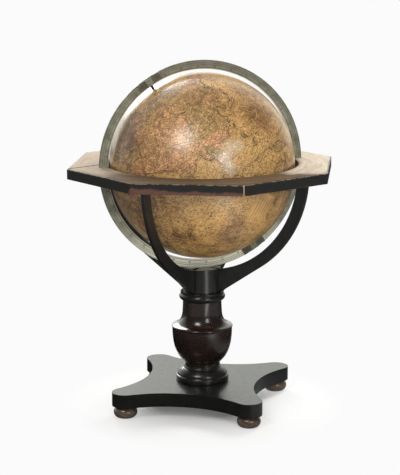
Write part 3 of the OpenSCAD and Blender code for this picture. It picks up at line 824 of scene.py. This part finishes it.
def horizon_paper_material(settings):
    """Printed paper, varnished and browned: beige, with faint circles and degree marks that hands have rubbed."""
    material, tree, shader, where = new_material("aged_horizon_paper", Roughness=0.75)
    x, y, _ = add(tree, "SeparateXYZ", where).node.outputs
    radius, angle = around(tree, add(tree, "CombineXYZ", x, y), y, x)

    # Circles and rays, 0.5 mm wide and so coarser than real, faint where clouds of 40 mm have been rubbed
    marks = [line_at(tree, radius, at, 0.15, 0.4, strength) for at, strength in HORIZON_CIRCLES]
    marks += [divisions(tree, angle, radius, *rays, 0.06, 0.12, 0.4) for rays in HORIZON_RAYS]
    clouds = add(tree, "TexNoise", where, Scale=26.0, Detail=6.0, Roughness=0.62)
    fine = add(tree, "TexNoise", where, Scale=190.0, Detail=4.0, Roughness=0.6)
    left = add(tree, "MapRange", clouds, 0.35, 0.62, 0.25, 1.0)
    printed = together(tree, strongest(tree, marks), left)

    # Hands browned the front, also darkened by a painted reflection of the globe; the left end is painted grey shade
    right = add(tree, "Math MAXIMUM", x, 0.0)
    front = add(tree, "Math MULTIPLY_ADD", right, 0.6, y)
    front = add(tree, "Math MULTIPLY_ADD", clouds, 0.12, front)
    front = add(tree, "MapRange", front, -0.035, 0.01, 1.0, 0.0)
    # Painted shade: the left end is painted greyer and darker, where the key lamp lights it more
    aged = add(tree, "MapRange", x, -0.2, 0.1, 0.85, 0.0)

    # Dirt in specks, streaks along the circles, 20 degrees long and 7 mm wide, and a dark inner edge
    dirt = add(tree, "MapRange", fine, 0.5, 0.75, 0.0, 0.55)
    ring_wise = add(tree, "Math MULTIPLY", angle, 0.05)
    outward = add(tree, "Math MULTIPLY", radius, 0.14)
    streaks = add(tree, "CombineXYZ", ring_wise, outward)
    streaks = add(tree, "TexNoise", streaks, Scale=1.0, Detail=4.0)
    streaks = add(tree, "MapRange", streaks, 0.45, 0.65, 0.0, 0.35)
    inner = add(tree, "MapRange", radius, 158.5, 161.5, 0.7, 0.0)

    # The boards' joints show through as fine lines, and the paper has torn open over the left one
    normal = (math.cos(JOINT_ANGLE), math.sin(JOINT_ANGLE), 0)
    across = add(tree, "VectorMath DOT_PRODUCT", where, normal).node.outputs["Value"]
    wobble = add(tree, "Math SUBTRACT", fine, 0.5)
    wobble = add(tree, "Math MULTIPLY_ADD", wobble, 2.5 * MM, across)
    gap = apart(tree, add(tree, "Math ABSOLUTE", wobble), JOINT_OUT)
    seam = add(tree, "MapRange", gap, 0.2 * MM, 0.6 * MM, 0.5, 0.0)
    torn = add(tree, "MapRange", gap, 2.2 * MM, 3.2 * MM, 1.0, 0.0)
    behind = add(tree, "Math GREATER_THAN", across, 0.0)
    on_left = add(tree, "Math LESS_THAN", x, 0.0)
    seam = strongest(tree, (seam, together(tree, torn, behind, on_left)))
    colour = layered(
        tree, (*settings.paper, 1), (clouds, "#bbac9a"), (aged, "#9a8974"), (front, (*settings.paper_front, 1)),
        (dirt, "#6d5840"), (streaks, "#7d6a55"), (inner, "#4a3626"), (printed, "#4b3725"), (seam, "#1d1712"),
    )
    surface(tree, shader, colour, fine, 0.4, 0.15 * MM)
    return material


def board_material(settings):
    """Pine painted black on its edge: the paint has worn off along the front edge, down to the red-brown wood."""
    material, tree, shader, where = new_material(
        "black_painted_pine", Roughness=0.45, Coat_Weight=0.15, Coat_Roughness=0.3
    )
    x, y, z = add(tree, "SeparateXYZ", where).node.outputs
    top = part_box("horizon_front")[1].z
    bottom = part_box("horizon_front")[0].z

    # Grain, 17 mm by 2.4 mm, under the paint and in the bare wood
    grain = add(tree, "VectorMath MULTIPLY", where, (60.0, 60.0, 420.0))
    grain = add(tree, "TexNoise", grain, Scale=1.0, Detail=5.0, Roughness=0.65)
    rub = add(tree, "TexNoise", where, Scale=55.0, Detail=6.0, Roughness=0.68)
    paint = layered(tree, (*settings.black, 1), (grain, "#1d1c1a"))
    bare = layered(tree, (*settings.bare, 1), (grain, "#3d241b"))

    # Wear: the front side's lower half and left end, and a hair line along every top edge
    low = add(tree, "MapRange", z, bottom, bottom + 11 * MM, 0.72, 0.0)
    front = add(tree, "MapRange", y, -0.16, -0.15, 1.0, 0.0)
    corner = add(tree, "MapRange", x, -0.004, 0.012, 1.0, 0.45)
    left = add(tree, "MapRange", x, -0.15, -0.1, 0.3, 0.0)
    worn = add(tree, "Math ADD", low, left)
    worn = add(tree, "Math MULTIPLY", worn, together(tree, front, corner))
    worn = add(tree, "Math ADD", worn, rub)
    worn = add(tree, "MapRange", worn, 0.78, 0.98)
    lip = add(tree, "MapRange", z, top - 1.3 * MM, top - 0.4 * MM, 0.0, 0.8)
    chips = add(tree, "TexNoise", where, Scale=210.0, Detail=3.0)
    chips = add(tree, "MapRange", chips, 0.46, 0.56)
    lip = together(tree, lip, chips, 0.6)

    # A pale crack down the front corner, with an orange chip at its foot
    crack = add(tree, "Math MULTIPLY_ADD", rub, 3.0 * MM, x)
    away = apart(tree, crack, 1.5 * MM)
    at_front = add(tree, "Math LESS_THAN", y, -0.2)
    crack = add(tree, "MapRange", away, 0.4 * MM, 1.0 * MM, 0.65, 0.0)
    down = add(tree, "Math SUBTRACT", z, bottom)
    chip = add(tree, "Math ADD", away, down)
    chip = add(tree, "MapRange", chip, 2.5 * MM, 3.5 * MM, 0.9, 0.0)
    crack, chip = (together(tree, each, at_front) for each in (crack, chip))
    colour = layered(tree, paint, (worn, bare), (lip, "#b39c82"), (crack, "#d3b9a6"), (chip, "#a9663c"))
    rough = add(tree, "MapRange", worn, To_Min=0.4, To_Max=0.75)
    surface(tree, shader, colour, grain, 0.5, 0.2 * MM, rough)
    return material


class GLOBE_OT_horizon(bpy.types.Operator):
    """Finishes the four boards of the horizon and the printed paper on them"""

    bl_idname = "globe.horizon"
    bl_label = "Horizon"

    def execute(self, context):
        settings = context.scene.stand_look
        wood = board_material(settings)
        for side in ("front", "back", "left", "right"):
            cad_piece(f"horizon_{side}", "stand", wood, settings.rounding)
        paper = horizon_paper_material(settings)
        cad_piece("horizon_paper", "stand", paper, 0.1 * MM)
        return {"FINISHED"}


def polish_material(name, colour, second, roughness, coat, grain):
    """Close-grained wood, stained and French polished: dark, streaked along the grain, under a thin gloss.

    The grain is given as streaks to a metre along each axis.
    """
    material, tree, shader, where = new_material(name, Roughness=roughness, Coat_Weight=coat, Coat_Roughness=0.12)
    long_grain = add(tree, "VectorMath MULTIPLY", where, grain)
    streaks = add(tree, "TexNoise", long_grain, Scale=1.0, Detail=5.0, Roughness=0.6)
    clouds = add(tree, "TexNoise", where, Scale=35.0, Detail=4.0)
    level = add(tree, "Math MULTIPLY", streaks, clouds)
    level = add(tree, "MapRange", level, 0.15, 0.4)
    scuffs = add(tree, "TexNoise", where, Scale=120.0, Detail=5.0, Roughness=0.7)
    rough = add(tree, "MapRange", scuffs, 0.45, 0.75, roughness, roughness + 0.1)
    surface(tree, shader, layered(tree, colour, (level, second)), streaks, 0.12, 0.05 * MM, rough)
    return material


class GLOBE_OT_stand(bpy.types.Operator):
    """Finishes the arms, the turned pedestal, the plinth and its feet"""

    bl_idname = "globe.stand"
    bl_label = "Stand"

    def execute(self, context):
        settings = context.scene.stand_look
        black = (*settings.black, 1)
        arms = polish_material("ebonised_beech", black, "#1c1c1a", 0.36, 0.25, (300.0, 300.0, 60.0))
        turned = polish_material("ebonised_turning", black, "#1d1a17", 0.28, 0.3, (320.0, 320.0, 50.0))
        stain, brown = (*settings.vase, 1), (*settings.feet, 1)
        vase = polish_material("dark_stained_turning", stain, "#17100d", 0.24, 0.6, (320.0, 320.0, 45.0))
        slab = polish_material("ebonised_slab", black, "#171816", 0.3, 0.3, (45.0, 320.0, 320.0))
        feet = polish_material("brown_polished_turning", brown, "#2f211a", 0.3, 0.5, (90.0, 90.0, 260.0))
        for side in ("front_left", "front_right", "rear_right", "rear_left"):
            cad_piece(f"arm_{side}", "stand", arms, settings.rounding)
            cad_piece(f"foot_{side}", "stand", feet, 0.4 * MM)
        for name in ("head", "collar", "foot"):
            cad_piece(f"pedestal_{name}", "stand", turned, 0.5 * MM)
        cad_piece("pedestal_vase", "stand", vase, 0.4 * MM)
        cad_piece("plinth", "stand", slab, 1.1 * MM)
        return {"FINISHED"}


class GLOBE_OT_inner_parts(bpy.types.Operator):
    """Gives the hidden parts their materials"""

    bl_idname = "globe.inner_parts"
    bl_label = "Hidden parts"

    def execute(self, context):
        raw = polish_material("raw_limewood", "#b79566", "#8f6f47", 0.7, 0.0, (300.0, 300.0, 50.0))
        pulp = metal_material("papier_mache", "#a3947b", "#857660", 0.0, 0.85, 3 * MM)
        iron = metal_material("cut_iron", "#3c3a37", "#22201e", 0.7, 0.6, 1.5 * MM)
        for node in ("equator_hoop", "globe_axle", "horizon_dowels"):
            dress(node, raw)
        for node in ("globe_shell_north", "globe_shell_south"):
            dress(node, pulp)
        for node in ("shell_nails", "plinth_screws"):
            dress(node, iron)
        return {"FINISHED"}


class GLOBE_OT_stage(bpy.types.Operator):
    """Makes the floor, the backdrop, the lights and the camera"""

    bl_idname = "globe.stage"
    bl_label = "Studio"

    def floor(self, settings):
        """A matt floor that glows with the distance from the object, to meet the backdrop without an edge."""
        bm = bmesh.new()
        bmesh.ops.create_grid(bm, x_segments=1, y_segments=1, size=FLOOR_REACH)
        mesh = bpy.data.meshes.new("floor")
        bm.to_mesh(mesh)
        bm.free()
        floor = bpy.data.objects.new("floor", mesh)
        bpy.context.scene.collection.objects.link(floor)
        material, tree, shader, where = new_material("matt_white_sweep", Roughness=0.9)
        shader.inputs["Base Color"].default_value = (*settings.floor, 1)
        path = add(tree, "LightPath").node.outputs
        away = add(tree, "VectorMath LENGTH", where).node.outputs["Value"]
        share = add(tree, "MapRange", away, 0.08, 0.24, 0.12, 1.0)
        share = add(tree, "Math MULTIPLY", share, path["Is Camera Ray"])
        share = add(tree, "Math MAXIMUM", share, path["Is Glossy Ray"])

        # In the polish it is dark near the object, with a bright strip that draws the highlight up the pedestal
        lit = add(tree, "MapRange", away, 0.35, 0.9, 0.05, 0.5)
        aside, deep, _ = add(tree, "SeparateXYZ", where).node.outputs
        strip = line_at(tree, aside, 0.17, 0.04, 0.18, 8.0, 0.7)
        front = add(tree, "MapRange", deep, -0.3, 0.3, 1.0, 0.2)
        strength = add(tree, "Mix", path["Is Glossy Ray"], 1.0, together(tree, lit, strip, front))
        glow = add(tree, "Emission", (*settings.backdrop, 1), strength)
        mixed = add(tree, "MixShader", share, shader.outputs[0], glow)
        tree.links.new(mixed, tree.nodes["Material Output"].inputs["Surface"])
        mesh.materials.append(material)

    def world(self, settings):
        """A white backdrop. It lights the object softly, and in the polish it is bright behind and dark in front."""
        world = bpy.data.worlds.new("white_studio")
        bpy.context.scene.world = world
        world.use_nodes = True
        tree = world.node_tree
        path = add(tree, "LightPath").node.outputs
        seen = add(tree, "Math MAXIMUM", path["Is Camera Ray"], path["Is Transmission Ray"])
        way = tree.nodes.new("ShaderNodeTexCoord").outputs["Generated"]
        _, behind, _ = add(tree, "SeparateXYZ", way).node.outputs
        behind = add(tree, "MapRange", behind, 0.3, 0.9, 0.06, 1.3)
        strength = add(tree, "Mix", path["Is Glossy Ray"], 0.45, behind)
        soft = add(tree, "Background", (0.98, 1.0, 0.93, 1), strength)
        white = add(tree, "Background", (*settings.backdrop, 1), 1.0)
        mixed = add(tree, "MixShader", seen, soft, white)
        tree.links.new(mixed, tree.nodes["World Output"].inputs["Surface"])

    def lamp(self, name, spot, size, power, colour, mirrored):
        """A rectangular lamp that points at the globe. Only a mirrored one shows in the polish."""
        light = bpy.data.lights.new(name, "AREA")
        light.shape = "RECTANGLE"
        light.size, light.size_y = size
        light.energy = power
        light.color = colour
        lamp = bpy.data.objects.new(name, light)
        lamp.location = spot
        lamp.visible_glossy = mirrored
        lamp.rotation_mode = "QUATERNION"
        lamp.rotation_quaternion = (Vector(spot) - CENTRE).to_track_quat("Z", "Y")
        bpy.context.scene.collection.objects.link(lamp)

    def execute(self, context):
        settings = context.scene.stage_look
        self.floor(settings)
        self.world(settings)
        for lamp in LAMPS:
            self.lamp(*lamp)
        camera = bpy.data.cameras.new("camera")
        camera.sensor_fit = "HORIZONTAL"
        camera.sensor_width = 36
        camera.lens = settings.lens
        camera.clip_start, camera.clip_end = 0.05, 60
        view = bpy.data.objects.new("camera", camera)
        a, e = settings.azimuth, settings.elevation
        back = Vector((math.sin(a) * math.cos(e), -math.cos(a) * math.cos(e), math.sin(e)))
        view.location = CAMERA_AIM * MM + back * settings.distance
        view.rotation_mode = "QUATERNION"
        roll = Matrix.Rotation(CAMERA_ROLL, 4, "Z")
        view.rotation_quaternion = ((-back).to_track_quat("-Z", "Y").to_matrix().to_4x4() @ roll).to_quaternion()
        context.scene.collection.objects.link(view)
        context.scene.camera = view
        context.scene.view_settings.view_transform = "Standard"
        return {"FINISHED"}


class GLOBE_PT_looks(bpy.types.Panel):
    """Lists the settings and the steps of the globe's looks"""

    bl_idname = "GLOBE_PT_looks"
    bl_label = "Table globe"
    bl_space_type = "VIEW_3D"
    bl_region_type = "UI"
    bl_category = "Table globe"

    def draw(self, context):
        column = self.layout.column()
        for group in GROUPS:
            settings = getattr(context.scene, group)
            for name in settings.bl_rna.properties.keys():
                if name not in ("rna_type", "name"):
                    column.prop(settings, name)
        for operator in OPERATORS:
            column.operator(operator.bl_idname)


GROUPS = {
    "globe_look": GlobeSettings,
    "metal_look": MetalSettings,
    "stand_look": StandSettings,
    "stage_look": StageSettings,
}
OPERATORS = (
    GLOBE_OT_stage,
    GLOBE_OT_papers,
    GLOBE_OT_meridian,
    GLOBE_OT_horizon,
    GLOBE_OT_stand,
    GLOBE_OT_inner_parts,
)


def register():
    for kind in (*GROUPS.values(), *OPERATORS, GLOBE_PT_looks):
        bpy.utils.register_class(kind)
    for name, kind in GROUPS.items():
        setattr(bpy.types.Scene, name, bpy.props.PointerProperty(type=kind))


def unregister():
    for name in GROUPS:
        delattr(bpy.types.Scene, name)
    for kind in reversed((*GROUPS.values(), *OPERATORS, GLOBE_PT_looks)):
        bpy.utils.unregister_class(kind)


def main():
    register()
    bpy.ops.globe.stage()
    bpy.ops.globe.papers()
    bpy.ops.globe.meridian()
    bpy.ops.globe.horizon()
    bpy.ops.globe.stand()
    bpy.ops.globe.inner_parts()


if __name__ == "__main__":
    main()
